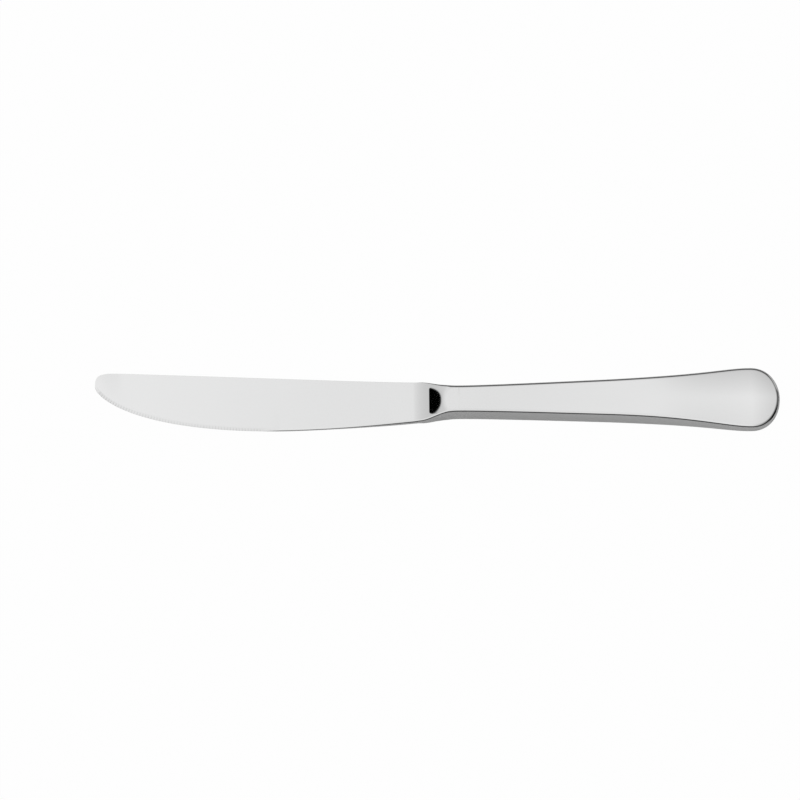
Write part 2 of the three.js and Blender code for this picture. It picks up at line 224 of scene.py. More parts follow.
class SawEdgeSizes(bpy.types.PropertyGroup):
    """The fine teeth along the belly of the edge."""

    pitch: length("Tooth pitch", "From one tooth to the next", 0.0009)
    radius: length("Flute radius", "Radius of the wheel that grinds a flute", 0.0026)
    depth: length("Flute depth", "How deep a flute goes into the bevel", 0.00004)
    reach: length("Flute length", "Length of the cutter that grinds a flute", 0.0024)
    plain_tip: length("Plain tip", "Length of edge at the tip without teeth", 0.0028)
    plain_heel: length("Plain heel", "Length of the belly's rear without teeth", 0.006)


class BolsterSizes(bpy.types.PropertyGroup):
    """The swell from the blade to the handle, and the nose in its middle."""

    swell_start: length("Swell start", "From the shoulder to the swell's front", 0.0141)
    swell_end: length("Swell end", "From the shoulder to the swell's rear", 0.0015)
    nose_start: length("Nose start", "From the shoulder to the foot of the nose", 0.00895)
    nose_end: length("Nose end", "From the shoulder to the crest of the nose", 0.0052)
    nose_reach: length("Nose reach", "Half width of the nose at its foot", 0.0045)
    nose_offset: length("Nose offset", "From the axis to the middle of the nose's foot", -0.00012)
    nose_skew: number("Nose skew", "How the middle of the nose drifts across along X", -0.03)
    nose_tilt: angle("Nose tilt", "Slope of the nose", 19.2)
    crown_power: number("Crown power", "How flat the crown stays before its sides fall", 2.33)
    nose_blend: length("Nose rounding", "How softly the crest of the nose is broken", 0.00012)
    crown_blend: length("Crown rounding", "How softly the crown runs into the handle", 0.00015)


class HandleSizes(bpy.types.PropertyGroup):
    """Outline and thickness of the hollow handle."""

    reach: length("Handle length", "From the shoulder to the butt", shell_high.x - knife_origin.x)
    neck_joint: length("Neck joint", "Thickness of the braze at the neck", neck_high.x - neck_low.x)
    seam: length("Seam", "Thickness of the braze between the shells", seam_high.z - seam_low.z)
    neck_width: length("Neck width", "Width at the neck", neck_high.y - neck_low.y)
    grip_width: length("Grip width", "Width in the middle of the handle", 0.01196)
    grip_distance: length("Grip distance", "From the shoulder to that width", 0.043)
    grip_flare: angle("Grip flare", "How fast the sides spread there", 2.3)
    butt_width: length("Butt width", "Greatest width", shell_high.y - shell_low.y)
    butt_round: length("Butt rounding", "Length of the rounded end", 0.0086)
    thickness: length("Thickness", "Thickness of the handle", neck_high.z - neck_low.z)
    butt_thickness: length("Butt thickness", "Thickness of the butt", 0.004)
    butt_crown: length("Butt crown", "How far the butt's face falls to its edge", 0.0004)
    thinning_start: length("Thinning start", "Where the handle starts to thin", 0.051)
    edge_radius: length("Edge radius", "Radius between face and side", 0.001)
    butt_radius: length("Butt radius", "The same radius at the very end", 0.00115)
    wall: length("Wall", "Thickness of the sheet", 0.0008)


class KnifeFinish(bpy.types.PropertyGroup):
    """Colours and polish, and a painted shade that darkens the metal near the neck."""

    steel: colour("Steel", "Colour of the polished steel", (0.82, 0.822, 0.822))
    steel_roughness: share("Steel roughness", "Roughness of the polished steel", 0.06)
    braze: colour("Braze", "Colour of the brazing alloy", (0.82, 0.822, 0.812))
    braze_roughness: share("Braze roughness", "Roughness of the brazing alloy", 0.06)
    # Painted shade: the metal's colour is darkened near the neck, standing in for its darker
    # reflection there
    painted_shade: share("Painted Shade", "How much darker the metal looks near the neck", 0.093)
    painted_shade_place: length("Dip place", "Where along X the metal looks darkest", 0.015)
    painted_shade_reach: length("Dip reach", "How far along X the darker look fades out", 0.112)
    cement: colour("Cement", "Colour of the handle's filling", (0.42, 0.39, 0.34))


class StageSettings(bpy.types.PropertyGroup):
    """Floor, light and camera."""

    floor_colour: colour("Floor", "Colour of the floor", (0.75, 0.75, 0.75))
    floor_glow: share("Floor glow", "Share of white in the floor that the camera sees", 0.985)
    mirrored_glow: share("Mirrored glow", "The same share as polished steel sees it", 0.12)
    light_edge: number("Light edge", "Height from which the light is whole", 0.79)
    light_end: number("Light end", "Height at which the light ends", 0.7)
    far_fall: number("Far fall", "How fast the light falls to the far side", 2.0)
    near_fall: number("Near fall", "How fast the light falls to the near side", 0.45)
    near_reach: number("Near reach", "How far to the near side it goes on falling", 0.12)
    right_fall: number("Right fall", "How fast the light falls to the right", 1.6)
    right_start: number("Right start", "How far to the right it starts to fall", 0.08)
    left_fall: number("Left fall", "How fast the light falls to the left", 0.57)
    edge_lean: number("Edge lean", "How fast the light's edge sinks to the left", 0.33)
    left_near: number("Left near", "How far to the left that light is whole", 0.468)
    left_far: number("Left far", "How far to the left that light ends", 0.518)
    low_left: share("Low left", "Light from the left, near the horizon", 0.3)
    low_far: share("Low far", "Light from the far side, near the horizon", 0.12)
    low_near: share("Low near", "Light from the near side, near the horizon", 0.04)
    low_corner: share("Low corner", "Light from three corners, near the horizon", 0.5)
    low_band: share("Low band", "Light from the near side, close to the horizon", 0.2)
    camera_height: angle("Camera height", "Height of the camera above the horizon", 66)
    camera_roll: angle("Camera roll", "Turn of the camera about its own axis", -0.528)
    camera_distance: length("Camera distance", "From the camera to the knife", 2.5)
    view_width: length("View width", "Width that the picture takes in", 0.24299)
    view_shift: length("View shift", "From the origin to the picture's middle, along X", -0.011307)
    view_rise: length("View rise", "From the axis to the picture's middle, along Y", 0.000938)


# Curves and outlines


def mix(a, b, amount):
    """Linear mix of two values."""
    return a + (b - a) * amount


def ease(value, start, end):
    """Smooth step from 0 to 1 between two places."""
    amount = np.clip((value - start) / (end - start), 0, 1)
    return amount * amount * (3 - 2 * amount)


def smooth_min(a, b, blend):
    """The lesser of two heights, with the corner between them rounded."""
    nearness = np.maximum(blend - np.abs(a - b), 0) / blend
    return np.minimum(a, b) - nearness * nearness * blend / 4


def ahead(pair, distance, slope):
    """The pair that lies a distance ahead of another along a slope."""
    return pair[0] + distance, pair[1] + distance * slope


def drawn_curve(start, end, pulls, slopes=(0, 0)):
    """A curve between two pairs that keeps to a slope at each end for a share of its span."""
    span = end[0] - start[0]
    return (
        start,
        ahead(start, pulls[0] * span, slopes[0]),
        ahead(end, -pulls[1] * span, slopes[1]),
        end,
    )


def bezier(pairs, count):
    """Points and directions along a cubic Bezier curve in plan."""
    a, b, c, d = (np.array(pair) for pair in pairs)
    t = np.linspace(0, 1, count)[:, None]
    points = a * (1 - t) ** 3 + 3 * b * t * (1 - t) ** 2 + 3 * c * t * t * (1 - t) + d * t ** 3
    slopes = (b - a) * (1 - t) ** 2 + 2 * (c - b) * t * (1 - t) + (d - c) * t * t
    return points, slopes / np.linalg.norm(slopes, axis=1)[:, None]


def offset_line(curves):
    """A function from distances along the knife to offsets across it."""
    line = np.concatenate([bezier(curve, CURVE_POINTS)[0] for curve in curves])
    return lambda x: np.interp(x, line[:, 0], line[:, 1])


def belly_curve(blade):
    """The toothed stretch of the edge, from the tip to the belly."""
    tip = (-blade.reach, blade.tip_offset)
    belly = (-blade.belly_distance, -blade.belly_offset)
    span = blade.reach - blade.belly_distance
    return (
        tip,
        (tip[0], mix(blade.tip_offset, -blade.belly_offset, TIP_EDGE_PULL)),
        ahead(belly, -BELLY_FRONT_PULL * span, 0),
        belly,
    )


def edge_curves(blade, half_neck):
    """The edge from the tip to the shoulder."""
    belly = (-blade.belly_distance, -blade.belly_offset)
    heel = (-blade.heel_distance, -blade.edge_heel_offset)
    span = heel[0] - belly[0]
    return (
        belly_curve(blade),
        (
            belly,
            ahead(belly, BELLY_REAR_PULL * span, 0),
            (heel[0] - EDGE_HEEL_PULL * span, mix(heel[1], belly[1], EDGE_HEEL_RISE)),
            heel,
        ),
        drawn_curve(heel, (0, -half_neck), (EDGE_SHOULDER_PULL, EDGE_NECK_PULL)),
    )


def spine_curves(blade, half_neck):
    """The spine from the tip to the shoulder."""
    tip = (-blade.reach, blade.tip_offset)
    top = (blade.tip_round - blade.reach, blade.spine_tip_offset)
    heel = (-blade.heel_distance, blade.spine_heel_offset)
    slope = (heel[1] - top[1]) / (heel[0] - top[0])
    return (
        (
            tip,
            (tip[0], mix(tip[1], top[1], TIP_SPINE_PULL)),
            ahead(top, -TIP_TOP_PULL * blade.tip_round, slope),
            top,
        ),
        drawn_curve(
            top, heel, (SPINE_FRONT_PULL, SPINE_REAR_PULL), (slope, SPINE_REAR_SLOPE * slope)
        ),
        drawn_curve(heel, (0, half_neck), (SPINE_HEEL_PULL, SPINE_NECK_PULL)),
    )


def handle_curves(handle):
    """The handle's outline on the +Y side, from the neck to the middle of the butt."""
    neck = (handle.neck_joint, handle.neck_width / 2)
    grip = (handle.grip_distance, handle.grip_width / 2)
    butt = (handle.reach - handle.butt_round, handle.butt_width / 2)
    flare = math.tan(handle.grip_flare)
    return (
        (
            neck,
            ahead(neck, NECK_PULL * grip[0], 0),
            ahead(grip, -GRIP_FRONT_PULL * grip[0], flare),
            grip,
        ),
        drawn_curve(grip, butt, (GRIP_REAR_PULL, BUTT_FRONT_PULL), (flare, 0)),
        (
            butt,
            ahead(butt, BUTT_SIDE_PULL * handle.butt_round, 0),
            (handle.reach, BUTT_END_PULL * butt[1]),
            (handle.reach, 0),
        ),
    )


# Meshes


def ring_mesh(name, rings, start_face=False, end_face=False):
    """A closed skin through rings of points that follow each other along the knife."""
    body = bmesh.new()
    rows = [[body.verts.new(Vector(point) + knife_origin) for point in ring] for ring in rings]
    for row, following in zip(rows, rows[1:]):
        for k in range(len(row)):
            after = (k + 1) % len(row)
            body.faces.new((row[k], row[after], following[after], following[k]))
    if start_face:
        body.faces.new(reversed(rows[0]))
    if end_face:
        body.faces.new(rows[-1])
    bmesh.ops.remove_doubles(body, verts=body.verts, dist=WELD_DISTANCE)
    bmesh.ops.dissolve_degenerate(body, edges=body.edges, dist=WELD_DISTANCE)
    mesh = bpy.data.meshes.new(name)
    body.to_mesh(mesh)
    body.free()
    return mesh


def placed(name, data):
    """A new object in the scene."""
    made = bpy.data.objects.new(name, data)
    bpy.context.collection.objects.link(made)
    return made


def smooth_piece(name, mesh, material):
    """An object from a mesh, smooth except at its real corners."""
    mesh.shade_smooth()
    mesh.set_sharp_from_angle(angle=SHARP_ANGLE)
    mesh.materials.clear()
    mesh.materials.append(material)
    return placed(name, mesh)


def hand_over(piece, node):
    """Rides a finished piece on the knife's one body, in place of its solid."""
    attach(piece, "root")
    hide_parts(node)


def edge_shares(blade, bolster, x):
    """How blunt the edge has become, and how far it has grown towards the heel."""
    belly = -blade.belly_distance
    along = np.clip((x - belly) / (blade.belly_distance - bolster.swell_start), 0, 1)
    return float(ease(x, belly - blade.blunt_run, belly)), float(ease(along * along, 0, 1))


def bevel_run(blade, width, lean):
    """Width of the bevel across the knife, at an edge that leans."""
    return min(blade.bevel_width * math.hypot(1, lean), BEVEL_SHARE * width)


def blade_face(blade, bolster, x, y, spine, edge, bevel_line):
    """Height of the blade's upper face above the middle plane."""
    from_tip = x + blade.reach
    towards_heel = from_tip / (blade.reach - bolster.swell_start)
    blunt, grown = edge_shares(blade, bolster, x)
    behind = mix(blade.blunt_thickness, blade.heel_thickness, grown)
    edge_half = mix(blade.edge_thickness, behind, blunt) / 2
    bevel_half = max(mix(blade.bevel_thickness, blade.heel_thickness, grown) / 2, edge_half)
    spine_half = mix(blade.tip_thickness, blade.heel_thickness, towards_heel) / 2
    # At the very tip the face is flat, and as thick as the top of the bevel
    edge_half = mix(bevel_half, edge_half, float(ease(from_tip, 0, blade.tip_run)))
    spine_half = mix(bevel_half, spine_half, float(ease(from_tip, 0, blade.tip_rise)))
    return np.interp(y, (edge, bevel_line, spine), (edge_half, bevel_half, spine_half))


def bolster_face(blade, bolster, half_thickness, x, y):
    """Height of the bolster's upper face: the swell, and the nose with its shallow crown."""
    def swell_at(place):
        grown = ease(place, -bolster.swell_start, -bolster.swell_end)
        return mix(blade.heel_thickness / 2, half_thickness, grown)

    slope = math.tan(bolster.nose_tilt)
    swell = swell_at(x)
    foot = swell_at(-bolster.nose_start)
    nose = foot + slope * (x + bolster.nose_start)
    crest = foot + slope * (bolster.nose_start - bolster.nose_end)
    lift = crest - swell_at(-bolster.nose_end)
    drift = bolster.nose_skew * (min(x, -bolster.nose_end) + bolster.nose_start)
    across = np.minimum(np.abs(y - (bolster.nose_offset + drift)) / bolster.nose_reach, 1)
    dome = swell + lift * (1 - across ** bolster.crown_power)
    crown = smooth_min(dome, half_thickness, bolster.crown_blend)
    return np.maximum(swell, smooth_min(nose, crown, bolster.nose_blend))


def forging_stations(blade, bolster):
    """Places along the forging: close together at the tip and over the bolster."""
    tip_zone = TIP_ZONE * blade.tip_round
    turn = np.linspace(FIRST_TURN, 1, TIP_STATIONS, endpoint=False) * math.pi / 2
    return np.concatenate([
        -blade.reach + tip_zone * (1 - np.cos(turn)),
        np.linspace(tip_zone - blade.reach, -bolster.swell_start, BLADE_STATIONS, endpoint=False),
        np.linspace(-bolster.swell_start, 0, BOLSTER_STATIONS),
    ])


def forging_ring(blade, bolster, handle, x, spine, edge, lean):
    """One ring round the forging, from the spine over the upper face and back underneath."""
    grown = float(ease(x, -bolster.swell_start, -bolster.swell_end))
    blunt, heeled = edge_shares(blade, bolster, x)
    edge_start = mix(blade.edge_ease, mix(blade.blunt_ease, blade.heel_ease, heeled), blunt)
    spine_corner = mix(blade.spine_ease, handle.edge_radius, grown)
    edge_corner = mix(edge_start, handle.edge_radius, grown)
    bevel_line = edge + max(bevel_run(blade, spine - edge, lean), CORNER_ROOM * edge_corner)
    y = np.concatenate([
        np.linspace(spine - spine_corner, bevel_line, FACE_STEPS, endpoint=False),
        np.linspace(bevel_line, edge + edge_corner, BEVEL_STEPS + 1),
    ])
    if x < -bolster.swell_start:
        z = blade_face(blade, bolster, x, y, spine, edge, bevel_line)
    else:
        z = bolster_face(blade, bolster, handle.thickness / 2, x, y)
    turn = np.linspace(0, math.pi / 2, CORNER_STEPS, endpoint=False)
    spine_y = spine - spine_corner * (1 - np.cos(turn))
    spine_z = z[0] - spine_corner * (1 - np.sin(turn))
    edge_y = edge + edge_corner * (1 - np.cos(turn))
    edge_z = z[-1] - edge_corner * (1 - np.sin(turn))
    ys = np.concatenate([spine_y, y, edge_y[::-1]])
    zs = np.concatenate([spine_z, z, edge_z[::-1]])
    upper = [(x, across, up) for across, up in zip(ys, zs)]
    lower = [(x, across, -up) for across, up in zip(ys[::-1], zs[::-1])]
    return upper + lower


def forging_mesh(scene):
    """The blade and its bolster as one smooth closed skin, without teeth."""
    blade, bolster, handle = scene.knife_blade, scene.knife_bolster, scene.knife_handle
    spine_at = offset_line(spine_curves(blade, handle.neck_width / 2))
    edge_at = offset_line(edge_curves(blade, handle.neck_width / 2))
    rings = []
    for x in forging_stations(blade, bolster):
        lean = (edge_at(x + LEAN_STEP) - edge_at(x)) / LEAN_STEP
        rings.append(forging_ring(blade, bolster, handle, x, spine_at(x), edge_at(x), lean))
    return ring_mesh("blade_and_bolster", rings, start_face=True, end_face=True)


def handle_stations(handle):
    """Points along the handle's outline, with the direction that points into the handle."""
    places = []
    inwards = []
    for number, (curve, steps) in enumerate(zip(handle_curves(handle), HANDLE_STATIONS)):
        points, slopes = bezier(curve, steps + 1)
        first = 0 if number == 0 else 1
        places.append(points[first:])
        inwards.append(np.stack([slopes[first:, 1], -slopes[first:, 0]], axis=1))
    return np.concatenate(places), np.concatenate(inwards)


def handle_face(handle, half_width_at, x, y):
    """Height of the handle's upper face, which falls away to its outline as a pillow."""
    thinning = ease(x, handle.thinning_start, handle.reach)
    butt = handle.reach - handle.butt_round
    across = y / half_width_at(np.minimum(x, butt))
    past = np.maximum(0, x - butt) / handle.butt_round
    crown = handle.butt_crown * thinning * np.minimum(1, across * across + past * past)
    return mix(handle.thickness, handle.butt_thickness, thinning) / 2 - crown


def edge_radius_at(handle, x):
    """Radius between face and side, which grows round the butt."""
    grown = ease(x, handle.reach - BUTT_ZONE * handle.butt_round, handle.reach)
    return mix(handle.edge_radius, handle.butt_radius, grown)


def shell_section(handle, half_width_at, place, inward, inset, corner_steps, panel_steps):
    """One section of the upper shell's skin, from seam to seam, drawn in by an inset."""
    radius = max(edge_radius_at(handle, place[0]) - inset, SMALLEST_RADIUS)
    shoulder = place + inward * (inset + radius)
    shoulder[1] = max(0, shoulder[1])
    top = float(handle_face(handle, half_width_at, shoulder[0], shoulder[1])) - inset
    turn = np.linspace(0, math.pi / 2, corner_steps, endpoint=False)
    corner = place + inward * (inset + radius * (1 - np.cos(turn)))[:, None]
    xs = np.concatenate([[corner[0, 0]], corner[:, 0]])
    ys = np.maximum(0, np.concatenate([[corner[0, 1]], corner[:, 1]]))
    zs = np.concatenate([[handle.seam / 2], top - radius * (1 - np.sin(turn))])
    panel_y = np.linspace(shoulder[1], -shoulder[1], panel_steps + 1)
    panel_z = handle_face(handle, half_width_at, shoulder[0], panel_y) - inset
    near = list(zip(xs, ys, zs))
    face = [(shoulder[0], y, z) for y, z in zip(panel_y, panel_z)]
    far = [(x, -y, z) for x, y, z in reversed(near)]
    return near + face + far


def upper_shell_mesh(handle):
    """One half shell: the outer skin, the inner skin and the flat rim between them."""
    half_width_at = offset_line(handle_curves(handle))
    rings = []
    for place, inward in zip(*handle_stations(handle)):
        outer = shell_section(handle, half_width_at, place, inward, 0, CORNER_STEPS, PANEL_STEPS)
        inner = shell_section(
            handle, half_width_at, place, inward, handle.wall, INNER_CORNER_STEPS, INNER_PANEL_STEPS
        )
        rings.append(outer + inner[::-1])
    return ring_mesh("upper_shell", rings, start_face=True)


# Node trees


class TreeMaker:
    """Adds nodes to a tree, and joins each to what feeds its inputs."""

    def __init__(self, tree):
        self.tree = tree

    def node(self, kind, feeds=None, **settings):
        """A node with its settings, and its inputs set or joined by name or number."""
        made = self.tree.nodes.new(kind)
        for key, value in settings.items():
            setattr(made, key, value)
        for key, value in (feeds or {}).items():
            socket = made.inputs[key]
            if isinstance(value, bpy.types.NodeSocket):
                self.tree.links.new(value, socket)
            else:
                socket.default_value = value
        return made

    def first(self, kind, feeds=None, **settings):
        """The first output of a new node."""
        return self.node(kind, feeds, **settings).outputs[0]

    def math(self, operation, *values):
        """The result of one operation on sockets or numbers."""
        return self.first("ShaderNodeMath", dict(enumerate(values)), operation=operation)

    def vectors(self, operation, *values):
        """The result of one operation on vectors."""
        return self.first("ShaderNodeVectorMath", dict(enumerate(values)), operation=operation)

    def scaled(self, vector, factor):
        """A vector or a colour times a number."""
        feeds = {0: vector, "Scale": factor}
        return self.first("ShaderNodeVectorMath", feeds, operation="SCALE")

    def step(self, value, start, end):
        """A smooth step from 0 to 1, as a value runs from start to end."""
        feeds = {"Value": value, "From Min": start, "From Max": end}
        return self.first("ShaderNodeMapRange", feeds, interpolation_type="SMOOTHSTEP")

    def noise(self, place, density, detail):
        """A noise in space."""
        feeds = {"Vector": place, "Scale": density, "Detail": detail}
        return self.first("ShaderNodeTexNoise", feeds)

    def spread(self, noise, low, high):
        """A noise spread over the range from low to high."""
        return self.first("ShaderNodeMapRange", {
            "Value": noise,
            "From Min": NOISE_LOW,
            "From Max": NOISE_HIGH,
            "To Min": low,
            "To Max": high,
        })


def new_tree(name, kind, inputs, outputs):
    """A tree with named inputs and outputs: its maker, and the sockets that give the inputs."""
    tree = bpy.data.node_groups.new(name, kind)
    for way, sockets in (("INPUT", inputs), ("OUTPUT", outputs)):
        for socket, value in sockets.items():
            tree.interface.new_socket(socket, in_out=way, socket_type="NodeSocket" + value)
    maker = TreeMaker(tree)
    return maker, maker.node("NodeGroupInput").outputs


def finished_tree(maker, geometry, material):
    """Ends a modifier's tree with real geometry in one material."""
    real = maker.first("GeometryNodeRealizeInstances", {0: geometry})
    coated = maker.first("GeometryNodeSetMaterial", {"Geometry": real, "Material": material})
    maker.node("NodeGroupOutput", {0: coated})
    maker.tree.is_modifier = True
    return maker.tree


def saw_edge_tree():
    """Geometry nodes that grind a row of flutes along a curve out of a blade."""
    sizes = ("Pitch", "Radius", "Reach", "Lift", "Plain Tip", "Plain Heel", "Tilt")
    maker, given = new_tree("saw_edge", "GeometryNodeTree", {
        "Blade": "Geometry",
        **dict.fromkeys(CURVE_ENDS, "Vector"),
        **dict.fromkeys(sizes, "Float"),
        "Steel": "Material",
    }, {"Ground Blade": "Geometry"})
    curve = maker.first("GeometryNodeCurvePrimitiveBezierSegment", {
        "Resolution": FLUTE_PATH_POINTS,
        **{end: given[end] for end in CURVE_ENDS},
    }, mode="POSITION")
    whole = maker.first("GeometryNodeCurveLength", {0: curve})
    toothed = maker.first("GeometryNodeTrimCurve", {
        "Curve": curve,
        TRIM_START: given["Plain Tip"],
        TRIM_END: maker.math("SUBTRACT", whole, given["Plain Heel"]),
    }, mode="LENGTH")
    points = maker.node("GeometryNodeCurveToPoints", {
        "Curve": toothed,
        "Length": given["Pitch"],
    }, mode="LENGTH").outputs
    inward = maker.vectors("CROSS_PRODUCT", (0, 0, 1), points["Tangent"])
    flat = maker.scaled(inward, maker.math("COSINE", given["Tilt"]))
    up = maker.first("ShaderNodeCombineXYZ", {"Z": maker.math("SINE", given["Tilt"])})
    turned = maker.first("FunctionNodeAlignRotationToVector", {
        "Vector": maker.vectors("ADD", flat, up),
    }, axis="Z")
    raised = maker.first("GeometryNodeSetPosition", {
        "Geometry": points["Points"],
        "Offset": maker.first("ShaderNodeCombineXYZ", {"Z": given["Lift"]}),
    })
    cutter = maker.first("GeometryNodeMeshCylinder", {
        "Vertices": FLUTE_SIDES,
        "Radius": given["Radius"],
        "Depth": given["Reach"],
    })
    cutters = maker.first("GeometryNodeInstanceOnPoints", {
        "Points": raised,
        "Instance": cutter,
        "Rotation": turned,
    })
    ground = maker.first("GeometryNodeMeshBoolean", {
        "Mesh 1": given["Blade"],
        "Mesh 2": maker.first("GeometryNodeRealizeInstances", {0: cutters}),
    }, operation="DIFFERENCE", solver="MANIFOLD")
    return finished_tree(maker, ground, given["Steel"])


def brazed_strip_tree():
    """Geometry nodes that draw a flat strip of braze along a path."""
    maker, given = new_tree("brazed_strip", "GeometryNodeTree", {
        "Path": "Geometry",
        "Width": "Float",
        "Thickness": "Float",
        "Alloy": "Material",
    }, {"Strip": "Geometry"})
    path = maker.first("GeometryNodeMeshToCurve", {"Mesh": given["Path"]})
    section = maker.first("GeometryNodeCurvePrimitiveQuadrilateral", {
        "Width": given["Width"],
        "Height": given["Thickness"],
    })
    strip = maker.first("GeometryNodeCurveToMesh", {
        "Curve": maker.first("GeometryNodeSetCurveNormal", {"Curve": path}, mode="Z_UP"),
        "Profile Curve": section,
        "Fill Caps": True,
    })
    return finished_tree(maker, strip, given["Alloy"])


def grown_mesh(name, mesh, tree, values):
    """The plain mesh that a tree makes out of another, with its inputs set by name."""
    holder = placed(name, mesh)
    modifier = holder.modifiers.new(tree.name, "NODES")
    modifier.node_group = tree
    for item in tree.interface.items_tree:
        if item.in_out == "INPUT" and item.name in values:
            modifier[item.identifier] = values[item.name]
    graph = bpy.context.evaluated_depsgraph_get()
    made = bpy.data.meshes.new_from_object(holder.evaluated_get(graph), depsgraph=graph)
    holder.modifiers.remove(modifier)
    bpy.data.objects.remove(holder)
    bpy.data.meshes.remove(mesh)
    if not made.polygons:
        raise RuntimeError(f"{tree.name} made no faces")
    return made


# Materials


def polishing_marks():
    """Shader group, made once, for the lines and faint clouds that polishing leaves on metal, and
    for a painted shade that darkens the metal towards the neck.
    """
    name = "polishing_marks"
    if name in bpy.data.node_groups:
        return bpy.data.node_groups[name]
    sizes = ("Line Density", "Roughness Low", "Roughness High", "Painted Shade", "Painted Shade Place", "Painted Shade Reach")
    maker, given = new_tree(
        name,
        "ShaderNodeTree",
        {**dict.fromkeys(sizes, "Float"), "Colour": "Color"},
        {"Colour": "Color", "Roughness": "Float", "Height": "Float"},
    )
    where = maker.node("ShaderNodeTexCoord").outputs["Object"]
    drawn_out = maker.first("ShaderNodeMapping", {"Vector": where, "Scale": LINE_STRETCH})
    lines = maker.noise(drawn_out, given["Line Density"], LINE_DETAIL)
    clouds = maker.noise(where, CLOUD_DENSITY, CLOUD_DETAIL)
    along = maker.node("ShaderNodeSeparateXYZ", {0: where}).outputs["X"]
    # Painted shade: the colour is darkened near the neck, in place of the darker reflection there
    painted_shade = maker.first("ShaderNodeMapRange", {
        "Value": maker.math("ABSOLUTE", maker.math("SUBTRACT", along, given["Painted Shade Place"])),
        "From Max": given["Painted Shade Reach"],
        "To Min": given["Painted Shade"],
        "To Max": 0.0,
    })
    # The faint clouds are the metal's own uneven tone; the rest of this darkening is painted shade
    clouds_and_painted_shade = maker.math("MULTIPLY_ADD", clouds, CLOUD_SPREAD, painted_shade)
    maker.node("NodeGroupOutput", {
        "Colour": maker.scaled(given["Colour"], maker.math("SUBTRACT", 1.0, clouds_and_painted_shade)),
        "Roughness": maker.spread(lines, given["Roughness Low"], given["Roughness High"]),
        "Height": lines,
    })
    return maker.tree


def blank_material(name, tint):
    """A material without nodes, and the maker of its nodes."""
    material = bpy.data.materials.new(name)
    material.use_nodes = True
    material.node_tree.nodes.clear()
    material.diffuse_color = (*tint, 1)
    return material, TreeMaker(material.node_tree)


def metal_material(name, finish, tint, roughness, line_density, relief):
    """A polished metal with the polishing group's marks and its painted shade near the neck, made
    once.
    """
    if name in bpy.data.materials:
        return bpy.data.materials[name]
    material, maker = blank_material(name, tint)
    marks_and_shade = maker.node("ShaderNodeGroup", {
        "Line Density": line_density,
        "Roughness Low": roughness * (1 - ROUGHNESS_SPREAD),
        "Roughness High": roughness * (1 + ROUGHNESS_SPREAD),
        "Painted Shade": finish.painted_shade,
        "Painted Shade Place": finish.painted_shade_place,
        "Painted Shade Reach": finish.painted_shade_reach,
        "Colour": (*tint, 1),
    }, node_tree=polishing_marks()).outputs
    scratched = maker.first("ShaderNodeBump", {
        "Height": marks_and_shade["Height"],
        "Strength": relief,
        "Distance": MARK_DEPTH,
    })
    shader = maker.first("ShaderNodeBsdfPrincipled", {
        # The base colour carries the painted shade that darkens the metal near the neck
        "Base Color": marks_and_shade["Colour"],
        "Roughness": marks_and_shade["Roughness"],
        "Metallic": 1.0,
        "Normal": scratched,
    })
    maker.node("ShaderNodeOutputMaterial", {"Surface": shader})
    return material


def cement_material(tint):
    """A matt filling with grains of sand in it."""
    material, maker = blank_material("set_cement", tint)
    where = maker.node("ShaderNodeTexCoord").outputs["Object"]
    grains = maker.noise(where, GRAIN_DENSITY, GRAIN_DETAIL)
    shader = maker.first("ShaderNodeBsdfPrincipled", {
        "Base Color": maker.scaled(tint, maker.spread(grains, *GRAIN_SHADES)),
        "Roughness": CEMENT_ROUGHNESS,
        "Normal": maker.first("ShaderNodeBump", {"Height": grains, "Distance": GRAIN_DEPTH}),
    })
    maker.node("ShaderNodeOutputMaterial", {"Surface": shader})
    return material


def polished_steel(finish):
    """The steel of the blade and the shells."""
    return metal_material(
        "mirror_steel", finish, finish.steel, finish.steel_roughness, STEEL_LINES, STEEL_RELIEF
    )


def brazing_alloy(finish):
    """The alloy in the joints."""
    return metal_material(
        "polished_braze", finish, finish.braze, finish.braze_roughness, BRAZE_LINES, BRAZE_RELIEF
    )


# Operators


class KNIFE_OT_forging(bpy.types.Operator):
    """Make the blade and its bolster, with the saw edge ground into it"""

    bl_idname = "knife.forging"
    bl_label = "Blade and bolster"

    def execute(self, context):
        scene = context.scene
        blade = scene.knife_blade
        saw = scene.knife_saw
        steel = polished_steel(scene.knife_finish)
        ends = [Vector((*pair, 0)) + knife_origin for pair in belly_curve(blade)]
        # The flutes follow the slope of the bevel, and their wheel stands above it
        rise = (blade.bevel_thickness - blade.edge_thickness) / 2
        tilt = math.atan2(rise, blade.bevel_width)
        lift = blade.edge_thickness / 2 + (saw.radius - saw.depth) / math.cos(tilt)
        ground = grown_mesh("blade_blank", forging_mesh(scene), saw_edge_tree(), {
            **dict(zip(CURVE_ENDS, ends)),
            "Pitch": saw.pitch,
            "Radius": saw.radius,
            "Reach": saw.reach,
            "Lift": lift,
            "Plain Tip": saw.plain_tip,
            "Plain Heel": saw.plain_heel,
            "Tilt": tilt,
            "Steel": steel,
        })
        piece = smooth_piece("blade_and_bolster", ground, steel)
        hand_over(piece, "blade")
        return {"FINISHED"}


class KNIFE_OT_half_shells(bpy.types.Operator):
    """Make the two pressed half shells of the handle"""

    bl_idname = "knife.half_shells"
    bl_label = "Half shells"

    def execute(self, context):
        scene = context.scene
        steel = polished_steel(scene.knife_finish)
        upper = upper_shell_mesh(scene.knife_handle)
        lower = upper.copy()
        turn = Matrix.Translation(knife_origin) @ Matrix.Rotation(math.pi, 4, "X")
        lower.transform(turn @ Matrix.Translation(-knife_origin))
        for name, mesh, node in (
            ("upper_shell", upper, "handle_upper_shell"),
            ("lower_shell", lower, "handle_lower_shell"),
        ):
            hand_over(smooth_piece(name, mesh, steel), node)
        return {"FINISHED"}


